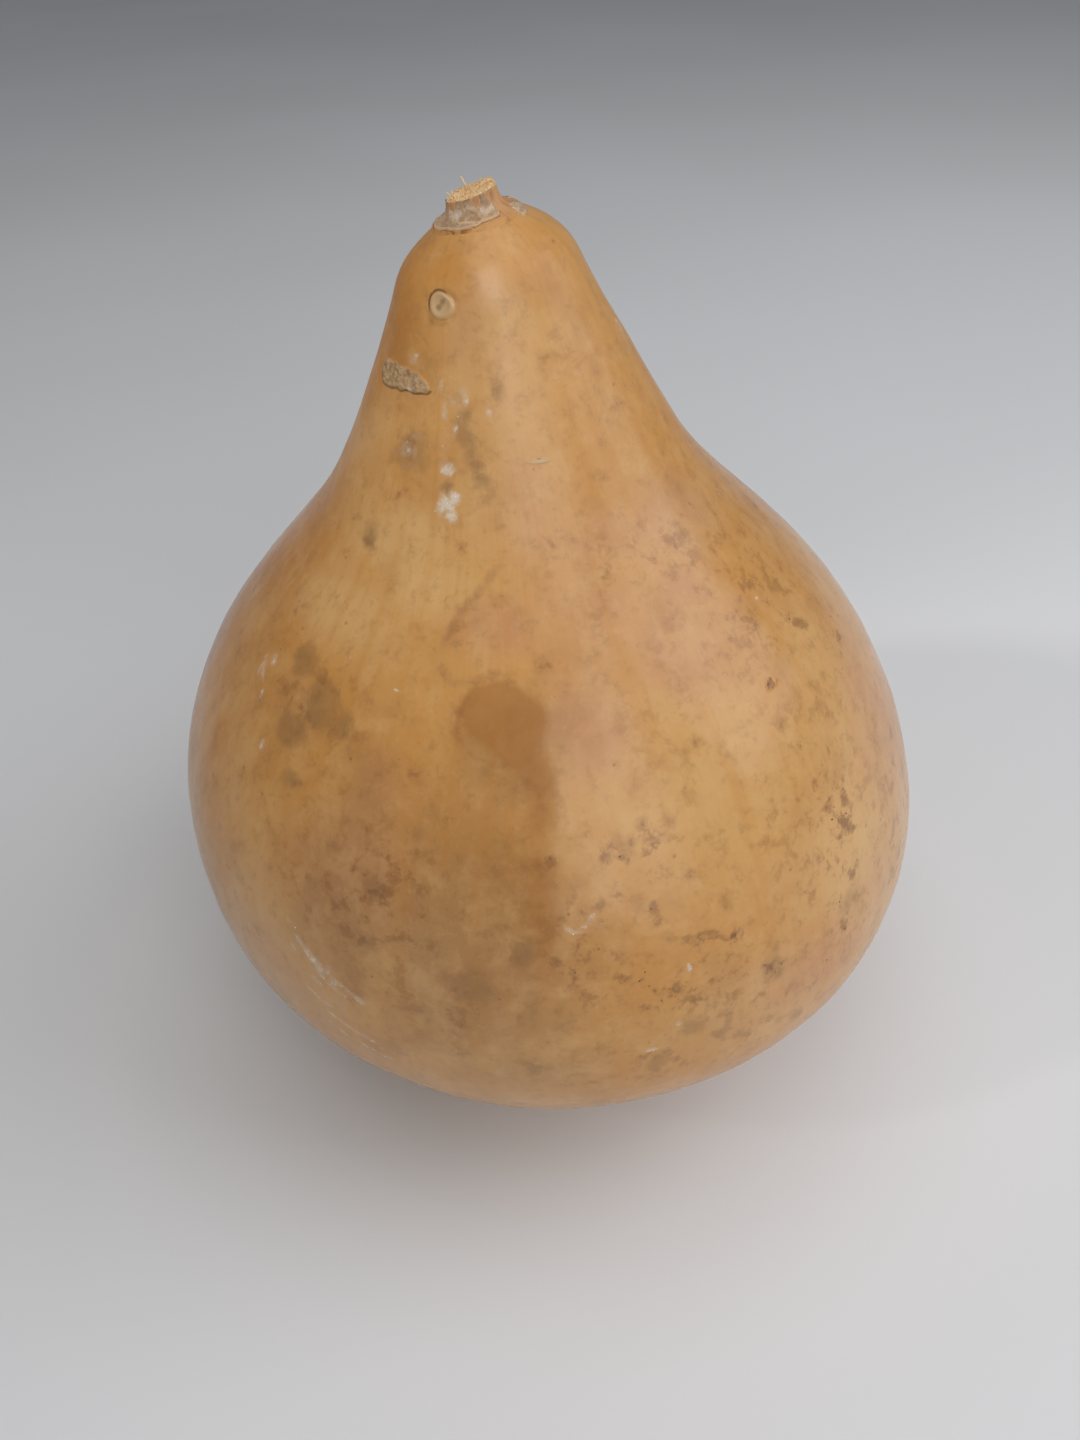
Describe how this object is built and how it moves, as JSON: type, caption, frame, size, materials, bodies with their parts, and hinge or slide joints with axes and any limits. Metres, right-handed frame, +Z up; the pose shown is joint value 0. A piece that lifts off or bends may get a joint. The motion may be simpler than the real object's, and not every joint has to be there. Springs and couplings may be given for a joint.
{
  "type": "calabash",
  "caption": "Whole dried bottle gourd, pear-shaped with a round belly, short neck and cut stem, standing on a small flat spot.",
  "frame": {"origin": "on the surface the gourd stands on, under the middle of its width", "axes": "+Z up from the flat spot to the stem, -Y towards the front of the fruit, +X to its right"},
  "size_m": [0.2012, 0.2008, 0.2385],
  "materials": {
    "rind": "satin, tan, dried rind with grey-brown mould stains",
    "stem": "matt, brown cork with a pale fibrous cut"
  },
  "bodies": {
    "root": {"fruit": "rind", "stem": "stem"}
  },
  "joints": []
}
